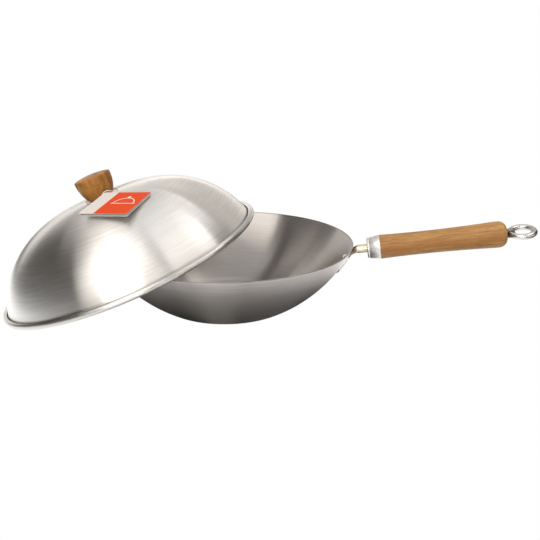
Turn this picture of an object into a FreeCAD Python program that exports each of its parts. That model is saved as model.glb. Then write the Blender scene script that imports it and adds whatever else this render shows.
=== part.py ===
"""Flat-bottomed steel wok with a wooden long handle, and its loose domed lid leaning on the rim.

Millimetres. +Z is up, +X points along the handle, and the origin is the centre of the wok's flat base.
The wok stands on its base. The lid stands on the lowest point of its rolled edge and leans on the wok's rim.
"""
import FreeCAD, Part
import math
import os

from FreeCAD import Vector

os.makedirs("parts", exist_ok=True)

# ---------------------------------------------------------------- bowl
rim_radius = 150.0          # outside of the rim
bowl_depth = 77.0           # floor to rim, outside
base_radius = 74.0          # flat base
wall_start_deg = 27.0       # slope of the wall where it leaves the base
bowl_sheet = 1.6            # steel sheet
base_blend = 25.0           # radius that eases the base into the wall
rim_round = 0.35            # ground edge of the rim

# ---------------------------------------------------------------- riveted stem (a tube with a flattened end)
rivet_drop = 17.8           # upper rivet, measured down the wall from the rim
rivet_pitch = 13.4          # between the two rivets, along the wall
rivet_shank_radius = 2.0
rivet_head_radius = 4.0
rivet_head_height = 1.9
rivet_tail_radius = 3.4
rivet_tail_height = 1.3
strap_width = 16.0          # the flattened end
strap_thick = 3.0
strap_below_rivet = 8.0     # strap past the lower rivet
strap_above_rivet = 6.0     # strap past the upper rivet, where the tube starts to open out
strap_overlap = 1.0         # the bend starts this far inside the strap, so that the two fuse
bend_step = 0.15            # the bend is this much slimmer than the strap and the tube that it joins
section_points = 16         # round each section of the bend
corner_square = 0.54        # power of the flattest section's corners; 1 is round
corner_ease = 1.54          # how soon the corners turn round as the section opens
bend_stations = ((0.0, 0.0), (0.25, 0.08), (0.5, 0.36), (0.75, 0.76), (1.0, 1.0))     # share of the bend, opened
stem_radius = 5.0           # round tube
stem_wall = 1.5
stem_solid_length = 12.0    # crushed shut up to here, measured along the handle
stem_end = 62.0             # inner end of the tube, inside the wood

# ---------------------------------------------------------------- handle, measured along its own axis
handle_height = 71.65       # handle axis above the floor, at the rim radius
handle_rise_deg = 8.45
stem_round_from = 5.0       # the stem is fully round from here
ferrule_start = 16.1
ferrule_end = 31.0
ferrule_front_radius = 11.75
ferrule_back_radius = 14.05
ferrule_sheet = 0.8
ferrule_round = 1.4
grip_end = 172.0
grip_neck_radius = 13.95
grip_waist_radius = 13.15
grip_waist_at = 89.0
grip_swell_radius = 14.9
grip_swell_at = 158.0
grip_end_round = 9.0
bolt_radius = 2.5
nut_length = 14.0
nut_inset = 2.0             # from the tube's inner end
bolt_past_nut = 3.0
washer_radius = 5.8
washer_thick = 0.8

# ---------------------------------------------------------------- hanging ring and its eye
ring_wire_radius = 3.35
ring_radius = 12.9          # to the middle of the wire
ring_roll_deg = 9.4         # the ring lies rolled about the handle's axis
eye_play = 0.6              # ring wire to eye, all round
eye_band = 1.55
eye_width = 4.4
eye_edge_round = 0.7
ring_end_gap = 0.5          # ring wire to the end of the wood

# ---------------------------------------------------------------- lid, measured from the middle of its rolled edge
bead_past_rim = 4.0         # middle of the rolled edge, outside the wok's rim
curl_radius = 3.5           # outside of the rolled edge
curl_turn_deg = 298.0
lid_sheet = 0.8
lid_wall_lean_deg = 18.4    # inward lean of the wall at the rolled edge
shoulder_radius = 116.0
crown_radius = 800.0
lid_tilt_deg = 20.75
lid_turn_deg = 11.3         # the lid leans this far round from the side opposite the handle
lean_gap = 0.3              # rolled edge to the wok's rim, where the lid leans

# ---------------------------------------------------------------- knob and its screw
knob_base_radius = 15.2
knob_top_radius = 21.1
knob_side_height = 24.2
knob_height = 26.8
knob_side_bulge = 1.9
knob_top_round = 1.6
knob_base_round = 0.6
seat_washer_radius = 12.5
seat_washer_thick = 0.8
insert_radius = 4.0
insert_length = 12.0
insert_bore_spare = 3.0
screw_radius = 2.5
screw_head_radius = 4.7
screw_head_height = 2.6
screw_slot_width = 1.1
screw_slot_length = 5.2
screw_slot_depth = 1.4
lid_washer_radius = 7.0
lid_washer_thick = 0.8

# ---------------------------------------------------------------- hang tag: a folded card with a leaf inside
tag_width = 59.3
tag_height = 51.5
tag_corner = 1.2
card_thick = 0.35
tag_tilt_deg = 15.0         # slope of the dome where the tag touches it
tag_azimuth_deg = -49.8     # where round the lid that is
tag_turn_deg = 22.3         # the tag's width, turned from straight down the dome
tag_touch_from_left = 39.6  # the point that touches, from the tag's left edge
tag_touch_from_top = 5.0
tag_hole_from_left = 7.0
tag_hole_from_top = 7.0
tag_hole_radius = 1.9
tag_spine_height = 1.7      # back leaf to front leaf at the fold
tag_open_deg = 1.0          # how far the front leaf stands open
fold_gap = 0.3

# ---------------------------------------------------------------- string round the knob
string_radius = 0.5
knot_radius = 2.3           # wider than the tag's hole
knot_half_height = 0.45
knot_flat_share = 0.75      # how far below its middle the knot is flat
knot_strand_offset = 0.8    # each strand, from the middle of the hole

# The string's route round the knob, in the lid's own frame: x, y, and height over the dome's surface.
string_route = [
    (15.6, -40.6, 2.4), (11.6, -37.6, 2.6), (8.9, -32.3, 4.8), (10.4, -26.6, 7.2), (14.6, -22.4, 7.6),
    (17.6, -19.0, 4.8), (18.4, -11.5, 2.6), (19.0, -2.0, 1.4), (19.6, 8.5, 1.1), (15.5, 17.5, 1.1),
    (5.0, 20.5, 1.1), (-7.5, 18.5, 1.1), (-16.5, 11.0, 1.1), (-19.0, -1.0, 1.1), (-15.5, -12.5, 1.1),
    (-10.0, -21.5, 1.1), (-4.5, -29.3, 1.1), (3.5, -36.2, 1.1), (12.0, -41.0, 1.3), (16.8, -43.0, 2.2),
]

# ---------------------------------------------------------------- clearances
seat_gap = 0.05             # between pieces that are pressed or screwed together
curved_seat_gap = 0.12      # the same, where one of the two faces is curved
shank_gap = 0.05            # fastener in its hole, radial
touch_gap = 0.3             # between pieces that only lie on each other

Z_AXIS = Vector(0, 0, 1)
Y_AXIS = Vector(0, 1, 0)
X_AXIS = Vector(1, 0, 0)
ORIGIN = Vector(0, 0, 0)


# ---------------------------------------------------------------- small helpers
def rz(r, z):
    """A point of a section that is turned about Z."""
    return Vector(r, 0, z)


def line(a, b):
    return Part.LineSegment(a, b).toShape()


def arc(a, middle, b):
    return Part.Arc(a, middle, b).toShape()


def turned(edges, axis=Z_AXIS, degrees=360.0):
    """A solid of revolution from the edges of a closed section."""
    return Part.Face(Part.Wire(Part.__sortEdges__(edges))).revolve(ORIGIN, axis, degrees)


def polar(centre, radius, degrees):
    """A point on a circle in the section plane, its angle measured from +X up to +Z."""
    a = math.radians(degrees)
    return Vector(centre.x + radius * math.cos(a), 0, centre.z + radius * math.sin(a))


def circle_edges(shape, radius, height, tolerance=0.02):
    """The whole circular edges of a turned shape at one radius and height."""
    found = []
    for edge in shape.Edges:
        if edge.Degenerated or not isinstance(edge.Curve, Part.Circle):
            continue
        if abs(edge.Curve.Radius - radius) < tolerance and abs(edge.Curve.Center.z - height) < tolerance:
            found.append(edge)
    return found


def rounded_wall(shape, radius, places):
    """Rounds the circular edges at the given (radius, height) places."""
    edges = [e for r, z in places for e in circle_edges(shape, r, z)]
    return shape.makeFillet(radius, edges)


def placed(shape, placement):
    copy = shape.copy()
    copy.Placement = placement.multiply(copy.Placement)
    return copy


def frame_placement(origin, x_dir, y_dir, z_dir):
    m = FreeCAD.Matrix(x_dir.x, y_dir.x, z_dir.x, origin.x,
                       x_dir.y, y_dir.y, z_dir.y, origin.y,
                       x_dir.z, y_dir.z, z_dir.z, origin.z,
                       0, 0, 0, 1)
    return FreeCAD.Placement(m)


# ---------------------------------------------------------------- bowl wall: one arc from base to rim
chord = math.hypot(rim_radius - base_radius, bowl_depth)
chord_angle = math.atan2(bowl_depth, rim_radius - base_radius)
wall_start = math.radians(wall_start_deg)
wall_radius = chord / 2 / math.sin(chord_angle - wall_start)
wall_end = 2 * chord_angle - wall_start
wall_centre = rz(base_radius - wall_radius * math.sin(wall_start), wall_radius * math.cos(wall_start))


def wall_point(slope, out=0.0):
    """A point of the wall's section where the wall has this slope, moved outwards by out."""
    r = wall_radius + out
    return Vector(wall_centre.x + r * math.sin(slope), 0, wall_centre.z - r * math.cos(slope))


def wall_normal(slope):
    return Vector(math.sin(slope), 0, -math.cos(slope))


def wall_radius_at(height, out=0.0):
    return wall_centre.x + math.sqrt((wall_radius + out) ** 2 - (wall_centre.z - height) ** 2)


def wall_clearance(point):
    """Distance from a point beside the handle's plane to the wall's outer face."""
    return math.hypot(point.x - wall_centre.x, point.z - wall_centre.z) - wall_radius


rivet_slopes = [wall_end - rivet_drop / wall_radius,
                wall_end - (rivet_drop + rivet_pitch) / wall_radius]


def wall_cylinder(slope, radius, start, stop):
    """A cylinder square to the wall, between two offsets from its outer face."""
    return Part.makeCylinder(radius, stop - start, wall_point(slope, start), wall_normal(slope))


def make_bowl():
    inner_rim = wall_radius_at(bowl_depth, -bowl_sheet)
    inner_base = wall_radius_at(bowl_sheet, -bowl_sheet)
    middle = (wall_start + wall_end) / 2
    edges = [
        line(rz(0, 0), rz(base_radius, 0)),
        arc(rz(base_radius, 0), wall_point(middle), rz(rim_radius, bowl_depth)),
        line(rz(rim_radius, bowl_depth), rz(inner_rim, bowl_depth)),
        arc(rz(inner_rim, bowl_depth), wall_point(middle, -bowl_sheet), rz(inner_base, bowl_sheet)),
        line(rz(inner_base, bowl_sheet), rz(0, bowl_sheet)),
        line(rz(0, bowl_sheet), rz(0, 0)),
    ]
    bowl = turned(edges)
    bowl = rounded_wall(bowl, base_blend, [(base_radius, 0)])
    bowl = rounded_wall(bowl, base_blend - bowl_sheet, [(inner_base, bowl_sheet)])
    bowl = rounded_wall(bowl, rim_round, [(rim_radius, bowl_depth), (inner_rim, bowl_depth)])
    for slope in rivet_slopes:
        hole = wall_cylinder(slope, rivet_shank_radius + shank_gap, -3 * bowl_sheet, 2 * bowl_sheet)
        bowl = bowl.cut(hole)
    return bowl


# ---------------------------------------------------------------- handle frame: its own axis is local +X
handle_placement = FreeCAD.Placement(Vector(rim_radius, 0, handle_height),
                                     FreeCAD.Rotation(Y_AXIS, -handle_rise_deg))


def along(distance, radius=0.0):
    """A point of a section that is turned about the handle's axis."""
    return Vector(distance, 0, radius)


def handle_cylinder(radius, start, stop):
    return Part.makeCylinder(radius, stop - start, along(start), X_AXIS)


def on_handle(shape):
    return placed(shape, handle_placement)


# ---------------------------------------------------------------- stem
strap_offset = seat_gap + strap_thick / 2     # middle of the strap from the bowl


def make_strap():
    top = rivet_slopes[0] + strap_above_rivet / wall_radius
    bottom = rivet_slopes[1] - strap_below_rivet / wall_radius
    near, far = seat_gap, seat_gap + strap_thick
    edges = [
        arc(wall_point(bottom, near), wall_point((top + bottom) / 2, near), wall_point(top, near)),
        line(wall_point(top, near), wall_point(top, far)),
        arc(wall_point(top, far), wall_point((top + bottom) / 2, far), wall_point(bottom, far)),
        line(wall_point(bottom, far), wall_point(bottom, near)),
    ]
    turn = math.degrees(strap_width / wall_point(rivet_slopes[0]).x)
    strap = turned(edges, Z_AXIS, turn)
    strap.rotate(ORIGIN, Z_AXIS, -turn / 2)
    end = wall_point(bottom, strap_thick / 2)
    corners = [e for e in strap.Edges
               if e.Length < 1.5 * strap_thick and abs(e.CenterOfMass.z - end.z) < strap_thick]
    return strap.makeFillet(0.45 * strap_width, corners)


def stem_section(centre, tangent, half_width, half_thick):
    """A rounded section square to the stem: wide along Y, thin across the bend."""
    across = tangent.cross(Y_AXIS)
    across.normalize()
    power = min(1.0, max(corner_square, corner_ease * half_thick / half_width))
    points = []
    for k in range(section_points):
        a = 2 * math.pi * k / section_points
        c, s = math.cos(a), math.sin(a)
        y = half_width * math.copysign(abs(c) ** power, c)
        w = half_thick * math.copysign(abs(s) ** power, s)
        points.append(centre + Y_AXIS * y + across * w)
    curve = Part.BSplineCurve()
    curve.interpolate(Points=points, PeriodicFlag=True)
    return Part.Wire(curve.toShape())


def make_stem_bend():
    """From the flat strap, round the bend, to the round tube."""
    top = rivet_slopes[0] + (strap_above_rivet - strap_overlap) / wall_radius
    start = wall_point(top, strap_offset)
    up = Vector(math.cos(top), 0, math.sin(top))
    rise = math.tan(math.radians(handle_rise_deg))
    reach = (handle_height + rise * (start.x - rim_radius) - start.z) / (up.z - rise * up.x)
    elbow = start + up * reach
    end = handle_placement.multVec(along(stem_round_from + strap_overlap))
    sections = []
    for t, opened in bend_stations:
        centre = start * (1 - t) ** 2 + elbow * (2 * t * (1 - t)) + end * t ** 2
        tangent = (elbow - start) * (1 - t) + (end - elbow) * t
        tangent.normalize()
        half_thick = strap_thick / 2 + (stem_radius - strap_thick / 2) * opened - bend_step
        half_thick = min(half_thick, wall_clearance(centre) - seat_gap - bend_step)
        half_width = strap_width / 2 + (stem_radius - strap_width / 2) * opened - bend_step
        sections.append(stem_section(centre, tangent, half_width, half_thick))
    return Part.makeLoft(sections, True, False)


def make_stem():
    tube = handle_cylinder(stem_radius, stem_round_from, stem_end)
    tube = tube.cut(handle_cylinder(stem_radius - stem_wall, stem_solid_length, stem_end + 1))
    stem = make_strap().fuse(make_stem_bend()).fuse(on_handle(tube))
    for slope in rivet_slopes:
        stem = stem.cut(wall_cylinder(slope, rivet_shank_radius + shank_gap, -1, 3 * strap_thick))
    return stem.removeSplitter()


def cap_arc(radius, height, base, side):
    """The section of a low round rivet head, from its apex to its edge; side is 1 above base and -1 below."""
    sphere_radius = (radius ** 2 + height ** 2) / 2 / height
    half = math.asin(radius / sphere_radius) / 2
    sphere_centre = base + side * (height - sphere_radius)
    middle = rz(sphere_radius * math.sin(half), sphere_centre + side * sphere_radius * math.cos(half))
    return arc(rz(0, base + side * height), middle, rz(radius, base))


def make_rivet(slope):
    inside = -bowl_sheet - curved_seat_gap
    outside = seat_gap + strap_thick + curved_seat_gap
    rivet = turned([
        cap_arc(rivet_head_radius, rivet_head_height, inside, -1),
        line(rz(rivet_head_radius, inside), rz(rivet_shank_radius, inside)),
        line(rz(rivet_shank_radius, inside), rz(rivet_shank_radius, outside)),
        line(rz(rivet_shank_radius, outside), rz(rivet_tail_radius, outside)),
        cap_arc(rivet_tail_radius, rivet_tail_height, outside, 1),
        line(rz(0, outside + rivet_tail_height), rz(0, inside - rivet_head_height)),
    ])
    out = wall_normal(slope)
    return placed(rivet, frame_placement(wall_point(slope), Y_AXIS.cross(out), Y_AXIS, out))


# ---------------------------------------------------------------- ferrule and wooden grip
ferrule_slope = (ferrule_back_radius - ferrule_front_radius) / (ferrule_end - ferrule_start)
nose_start = ferrule_start + ferrule_sheet + seat_gap
nose_inset = ferrule_sheet * math.hypot(1, ferrule_slope) + seat_gap


def ferrule_radius(distance):
    return ferrule_front_radius + ferrule_slope * (distance - ferrule_start)


def make_ferrule():
    hole = stem_radius + shank_gap
    sheet = nose_inset - seat_gap
    inner_start = ferrule_start + ferrule_sheet
    points = [along(ferrule_start, hole), along(ferrule_start, ferrule_front_radius),
              along(ferrule_end, ferrule_back_radius), along(ferrule_end, ferrule_back_radius - sheet),
              along(inner_start, ferrule_radius(inner_start) - sheet), along(inner_start, hole)]
    ferrule = turned([line(a, b) for a, b in zip(points, points[1:] + points[:1])], X_AXIS)
    front = [e for e in ferrule.Edges if isinstance(e.Curve, Part.Circle)
             and abs(e.Curve.Radius - ferrule_front_radius) < 0.01]
    return on_handle(ferrule.makeFillet(ferrule_round, front))


eye_at = grip_end + ring_wire_radius + ring_end_gap
eye_hole_radius = ring_wire_radius + eye_play
eye_radius = eye_hole_radius + eye_band
washer_face = eye_at - eye_radius - seat_gap
recess_floor = washer_face - washer_thick - seat_gap
recess_radius = washer_radius + touch_gap


def make_grip():
    shoulder = ferrule_end + seat_gap
    nose_tip = ferrule_radius(nose_start) - nose_inset
    nose_root = ferrule_radius(shoulder) - nose_inset
    socket = stem_radius + shank_gap
    end_flat = grip_swell_radius - grip_end_round
    round_from = grip_end - grip_end_round
    diagonal = grip_end_round * math.sqrt(0.5)
    edges = [
        line(along(nose_start, 0), along(nose_start, nose_tip)),
        line(along(nose_start, nose_tip), along(shoulder, nose_root)),
        line(along(shoulder, nose_root), along(shoulder, grip_neck_radius)),
        arc(along(shoulder, grip_neck_radius), along(grip_waist_at, grip_waist_radius),
            along(grip_swell_at, grip_swell_radius)),
        line(along(grip_swell_at, grip_swell_radius), along(round_from, grip_swell_radius)),
        arc(along(round_from, grip_swell_radius), along(round_from + diagonal, end_flat + diagonal),
            along(grip_end, end_flat)),
        line(along(grip_end, end_flat), along(grip_end, 0)),
        line(along(grip_end, 0), along(nose_start, 0)),
    ]
    grip = turned(edges, X_AXIS)
    grip = grip.cut(handle_cylinder(socket, nose_start - 1, stem_end + touch_gap))
    grip = grip.cut(handle_cylinder(bolt_radius + touch_gap, stem_end - 1, grip_end))
    grip = grip.cut(handle_cylinder(recess_radius, recess_floor, grip_end + 1))
    return on_handle(grip)


# ---------------------------------------------------------------- eye bolt through the wood, and the ring
ring_roll = math.radians(ring_roll_deg)
eye_axis = Vector(0, math.cos(ring_roll), math.sin(ring_roll))      # in the handle's frame
ring_normal = X_AXIS.cross(eye_axis)
nut_end = stem_end - nut_inset
nut_start = nut_end - nut_length


def make_nut():
    nut = handle_cylinder(stem_radius - stem_wall - seat_gap, nut_start, nut_end)
    return on_handle(nut.cut(handle_cylinder(bolt_radius + shank_gap, nut_start - 1, nut_end + 1)))


def make_eye_bolt():
    shank = handle_cylinder(bolt_radius, nut_start - bolt_past_nut, eye_at - eye_hole_radius - eye_band / 2)
    base = along(eye_at) - eye_axis * (eye_width / 2)
    disc = Part.makeCylinder(eye_radius, eye_width, base, eye_axis)
    disc = disc.makeFillet(eye_edge_round, [e for e in disc.Edges if abs(e.Length - 2 * math.pi * eye_radius) < 0.01])
    hole = Part.makeCylinder(eye_hole_radius, 2 * eye_width, base - eye_axis * eye_width / 2, eye_axis)
    return on_handle(shank.fuse(disc).cut(hole).removeSplitter())


def make_eye_washer():
    washer = handle_cylinder(washer_radius, washer_face - washer_thick, washer_face)
    return on_handle(washer.cut(handle_cylinder(bolt_radius + shank_gap, recess_floor - 1, eye_at)))


def make_ring():
    return on_handle(Part.makeTorus(ring_radius, ring_wire_radius, along(eye_at + ring_radius), ring_normal))


# ---------------------------------------------------------------- lid section: crown arc, shoulder arc, rolled edge
bead_radius = rim_radius + bead_past_rim
bead_centre = rz(bead_radius, 0)
shoulder_start = polar(bead_centre, curl_radius - lid_sheet, 180 + lid_wall_lean_deg)
shoulder_centre = polar(shoulder_start, shoulder_radius, 180 + lid_wall_lean_deg)
crown_drop = math.sqrt((crown_radius - shoulder_radius) ** 2 - shoulder_centre.x ** 2)
crown_centre = rz(0, shoulder_centre.z - crown_drop)
crown_meets_deg = math.degrees(math.atan2(crown_drop, shoulder_centre.x))
lid_height = crown_centre.z + crown_radius


def dome_height(radius):
    """Height of the lid's outer face over the middle of its rolled edge."""
    if radius < crown_radius * math.cos(math.radians(crown_meets_deg)):
        return crown_centre.z + math.sqrt(crown_radius ** 2 - radius ** 2)
    return shoulder_centre.z + math.sqrt(shoulder_radius ** 2 - (radius - shoulder_centre.x) ** 2)


def make_lid():
    lean = lid_wall_lean_deg
    outer_curl, inner_curl = curl_radius, curl_radius - lid_sheet
    start, stop = 180 + lean, 180 + lean + curl_turn_deg
    half = (start + stop) / 2
    shoulder_mid = (lean + crown_meets_deg) / 2
    crown_mid = (90 + crown_meets_deg) / 2
    edges = []
    for skin, curl in ((0.0, inner_curl), (lid_sheet, outer_curl)):
        crown, shoulder = crown_radius - skin, shoulder_radius - skin
        edges.append(arc(rz(0, crown_centre.z + crown), polar(crown_centre, crown, crown_mid),
                         polar(crown_centre, crown, crown_meets_deg)))
        edges.append(arc(polar(shoulder_centre, shoulder, crown_meets_deg),
                         polar(shoulder_centre, shoulder, shoulder_mid), polar(bead_centre, curl, start)))
        edges.append(arc(polar(bead_centre, curl, start), polar(bead_centre, curl, half),
                         polar(bead_centre, curl, stop)))
    edges.append(line(polar(bead_centre, inner_curl, stop), polar(bead_centre, outer_curl, stop)))
    edges.append(line(rz(0, lid_height), rz(0, lid_height - lid_sheet)))
    lid = turned(edges)
    hole = Part.makeCylinder(screw_radius + touch_gap, 4 * lid_sheet, rz(0, lid_height - 3 * lid_sheet))
    return lid.cut(hole)


# ---------------------------------------------------------------- knob, screwed on from inside the lid
seat_washer_base = lid_height + seat_gap
knob_base = seat_washer_base + seat_washer_thick + seat_gap
lid_washer_top = lid_height - lid_sheet - curved_seat_gap
screw_seat = lid_washer_top - lid_washer_thick - seat_gap
insert_top = knob_base + seat_gap + insert_length


def washer(radius, hole, base, thick):
    return Part.makeCylinder(radius, thick, rz(0, base)).cut(Part.makeCylinder(hole, 3 * thick, rz(0, base - thick)))


def make_knob():
    side_top = knob_base + knob_side_height
    side_mid = rz((knob_base_radius + knob_top_radius) / 2 + knob_side_bulge, knob_base + knob_side_height / 2)
    crown_rise = knob_height - knob_side_height
    crown_mid = rz(knob_top_radius / 2, side_top + 0.76 * crown_rise)
    edges = [
        line(rz(0, knob_base), rz(knob_base_radius, knob_base)),
        arc(rz(knob_base_radius, knob_base), side_mid, rz(knob_top_radius, side_top)),
        arc(rz(knob_top_radius, side_top), crown_mid, rz(0, knob_base + knob_height)),
        line(rz(0, knob_base + knob_height), rz(0, knob_base)),
    ]
    knob = turned(edges)
    knob = rounded_wall(knob, knob_top_round, [(knob_top_radius, side_top)])
    knob = rounded_wall(knob, knob_base_round, [(knob_base_radius, knob_base)])
    bore = Part.makeCylinder(insert_radius + seat_gap, insert_length + insert_bore_spare, rz(0, knob_base - 1))
    return knob.cut(bore)


def make_insert():
    start = knob_base + seat_gap
    body = Part.makeCylinder(insert_radius, insert_length, rz(0, start))
    return body.cut(Part.makeCylinder(screw_radius + shank_gap, insert_length + 2, rz(0, start - 1)))


def make_screw():
    shank = Part.makeCylinder(screw_radius, insert_top - screw_seat - 1, rz(0, screw_seat))
    head = Part.makeCylinder(screw_head_radius, screw_head_height, rz(0, screw_seat - screw_head_height))
    rim = circle_edges(head, screw_head_radius, screw_seat - screw_head_height)
    head = head.makeFillet(0.6 * screw_head_height, rim)
    screw = shank.fuse(head)
    for size in ((screw_slot_length, screw_slot_width), (screw_slot_width, screw_slot_length)):
        corner = Vector(-size[0] / 2, -size[1] / 2, screw_seat - screw_head_height - 1)
        screw = screw.cut(Part.makeBox(size[0], size[1], screw_slot_depth + 1, corner))
    return screw.removeSplitter()


# ---------------------------------------------------------------- where the lid stands
lid_tilt = math.radians(lid_tilt_deg)
lid_centre_height = bead_radius * math.sin(lid_tilt) + curl_radius
lean_steps = 1440           # points of half the rim that are looked at
lean_rounds = 40            # halvings of the distance


def lean_clearance(centre_x):
    """Clearance from the rolled edge to the wok's rounded rim, with the lid's centre this far out; negative if sunk."""
    lowest = math.inf
    for radius in (rim_radius - rim_round, wall_radius_at(bowl_depth, -bowl_sheet) + rim_round):
        nearest, rim_above = math.inf, False
        before = None
        for k in range(lean_steps + 1):
            a = math.pi * k / lean_steps
            dx, y = radius * math.cos(a) - centre_x, radius * math.sin(a)
            dz = bowl_depth - rim_round - lid_centre_height
            uphill = dx * math.cos(lid_tilt) + dz * math.sin(lid_tilt)
            above = dz * math.cos(lid_tilt) - dx * math.sin(lid_tilt)
            outside = math.hypot(uphill, y) - bead_radius
            nearest = min(nearest, math.hypot(outside, above))
            if before is not None and before > 0 >= outside:
                rim_above = above > 0
            before = outside
        lowest = min(lowest, (-nearest if rim_above else nearest) - curl_radius - rim_round)
    return lowest


def lid_centre_reach():
    """How far from the wok's axis the lid's centre is, once it has slid in until it all but touches the rim."""
    apart, sunk = -rim_radius - bead_radius * math.cos(lid_tilt), 0.0
    for _ in range(lean_rounds):
        middle = (apart + sunk) / 2
        if lean_clearance(middle) > lean_gap:
            apart = middle
        else:
            sunk = middle
    return apart


lid_turn = FreeCAD.Placement(ORIGIN, FreeCAD.Rotation(Z_AXIS, lid_turn_deg))
lid_placement = lid_turn.multiply(FreeCAD.Placement(Vector(lid_centre_reach(), 0, lid_centre_height),
                                                    FreeCAD.Rotation(Y_AXIS, -lid_tilt_deg)))


def on_lid(shape):
    return placed(shape, lid_placement)


# ---------------------------------------------------------------- tag frame: x right, y up the tag, z out of its face
tag_azimuth, tag_tilt, tag_turn = (math.radians(d) for d in (tag_azimuth_deg, tag_tilt_deg, tag_turn_deg))
tag_normal = Vector(math.sin(tag_tilt) * math.cos(tag_azimuth), math.sin(tag_tilt) * math.sin(tag_azimuth),
                    math.cos(tag_tilt))
down_dome = Vector(math.cos(tag_tilt) * math.cos(tag_azimuth), math.cos(tag_tilt) * math.sin(tag_azimuth),
                   -math.sin(tag_tilt))
round_dome = tag_normal.cross(down_dome)
tag_right = down_dome * math.cos(tag_turn) + round_dome * math.sin(tag_turn)
tag_up = tag_normal.cross(tag_right)
touch_radius = shoulder_centre.x + shoulder_radius * math.sin(tag_tilt)
tag_touch = Vector(touch_radius * math.cos(tag_azimuth), touch_radius * math.sin(tag_azimuth),
                   dome_height(touch_radius))
tag_placement = lid_placement.multiply(frame_placement(tag_touch, tag_right, tag_up, tag_normal))

tag_left = -tag_touch_from_left
tag_top = tag_touch_from_top
tag_hole = Vector(tag_left + tag_hole_from_left, tag_top - tag_hole_from_top, 0)
back_level = touch_gap
inner_level = back_level + card_thick + touch_gap
knot_level = back_level + card_thick + touch_gap     # the knot lies in the inner leaf's wider hole
front_level = back_level + tag_spine_height
fold_line = Vector(tag_left, tag_top, front_level + card_thick / 2)


def on_tag(shape):
    return placed(shape, tag_placement)


def leaf(width, height, left, top, level):
    """A thin card with rounded corners."""
    sheet = Part.makeBox(width, height, card_thick, Vector(left, top - height, level))
    corners = [e for e in sheet.Edges if abs(e.Length - card_thick) < 1e-6]
    return sheet.makeFillet(tag_corner, corners)


def tag_hole_tool(radius):
    return Part.makeCylinder(radius, 4 * tag_spine_height, tag_hole - Z_AXIS * tag_spine_height)


def make_back_leaf():
    """The back of the card and the fold that turns up from its top edge."""
    sheet = leaf(tag_width, tag_height, tag_left, tag_top, back_level)
    spine_radius = (front_level + card_thick - back_level) / 2
    middle = Vector(0, tag_top, back_level + spine_radius)

    def at(radius, degrees):
        a = math.radians(degrees)
        return middle + Vector(0, radius * math.cos(a), radius * math.sin(a))

    inner = spine_radius - card_thick
    last = 90 - math.degrees((fold_gap + card_thick / 2) / inner)
    edges = [
        arc(at(spine_radius, -90), at(spine_radius, 0), at(spine_radius, last)),
        line(at(spine_radius, last), at(inner, last)),
        arc(at(inner, last), at(inner, 0), at(inner, -90)),
        line(at(inner, -90), at(spine_radius, -90)),
    ]
    spine = Part.Face(Part.Wire(edges)).extrude(X_AXIS * (tag_width - 2 * tag_corner))
    spine.translate(Vector(tag_left + tag_corner, 0, 0))
    # the fold runs into the sheet by its own thickness, so that the two are one piece
    root = Part.makeBox(tag_width - 2 * tag_corner, tag_corner, card_thick,
                        Vector(tag_left + tag_corner, tag_top - tag_corner, back_level))
    card = sheet.fuse(root).fuse(spine).removeSplitter()
    return on_tag(card.cut(tag_hole_tool(tag_hole_radius)))


def make_inner_leaf():
    inset = card_thick + 2 * touch_gap
    sheet = leaf(tag_width - 2 * inset, tag_height - 2 * inset, tag_left + inset, tag_top - inset, inner_level)
    return on_tag(sheet.cut(tag_hole_tool(knot_radius + touch_gap)))


def make_front_leaf():
    sheet = leaf(tag_width, tag_height, tag_left, tag_top, front_level)
    sheet.rotate(fold_line, X_AXIS, -tag_open_deg)
    return on_tag(sheet)


# ---------------------------------------------------------------- string: straight runs joined by tangent arcs
def over_dome(x, y, height):
    return Vector(x, y, dome_height(math.hypot(x, y)) + height)


def string_points():
    """The route with its two ends, which come up through the tag's hole to the knot."""
    to_lid = lid_placement.inverse().multiply(tag_placement)
    ends = [to_lid.multVec(tag_hole + X_AXIS * side + Z_AXIS * knot_level)
            for side in (-knot_strand_offset, knot_strand_offset)]
    return [ends[0]] + [over_dome(*p) for p in string_route] + [ends[1]]


def string_path():
    points = string_points()
    edges, last = [], points[0]
    for before, here, after in zip(points, points[1:], points[2:]):
        back, ahead = before - here, after - here
        shorter = min(back.Length, ahead.Length)
        back.normalize()
        ahead.normalize()
        turn = math.pi - back.getAngle(ahead)
        tangent = 0.45 * shorter
        radius = tangent / math.tan(turn / 2)
        first, second = here + back * tangent, here + ahead * tangent
        bisector = back + ahead
        bisector.normalize()
        centre = here + bisector * math.hypot(radius, tangent)
        edges += [line(last, first), arc(first, centre - bisector * radius, second)]
        last = second
        print("string bend: turn %.0f deg, radius %.1f mm, run %.1f mm"
              % (math.degrees(turn), radius, (here - before).Length))
    edges.append(line(last, points[-1]))
    return Part.Wire(edges)


def make_string():
    path = string_path()
    first = path.Edges[0]
    start = first.valueAt(first.FirstParameter)
    direction = first.tangentAt(first.FirstParameter)
    section = Part.Wire(Part.makeCircle(string_radius, start, direction))
    tube = path.makePipeShell([section], True, True)
    expected = math.pi * string_radius ** 2 * path.Length
    print("string: %.1f mm long, volume %.3f of section times length" % (path.Length, tube.Volume / expected))
    return on_lid(tube)


def make_knot():
    ball = Part.makeSphere(knot_radius)
    matrix = FreeCAD.Matrix()
    matrix.scale(1, 1, knot_half_height / knot_radius)
    knot = ball.transformGeometry(matrix)
    base = knot_flat_share * knot_half_height
    slab = Part.makeBox(4 * knot_radius, 4 * knot_radius, 2 * knot_half_height,
                        Vector(-2 * knot_radius, -2 * knot_radius, -base))
    knot = knot.common(slab)
    knot.translate(tag_hole + Z_AXIS * (knot_level + base))
    return on_tag(knot)


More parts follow.
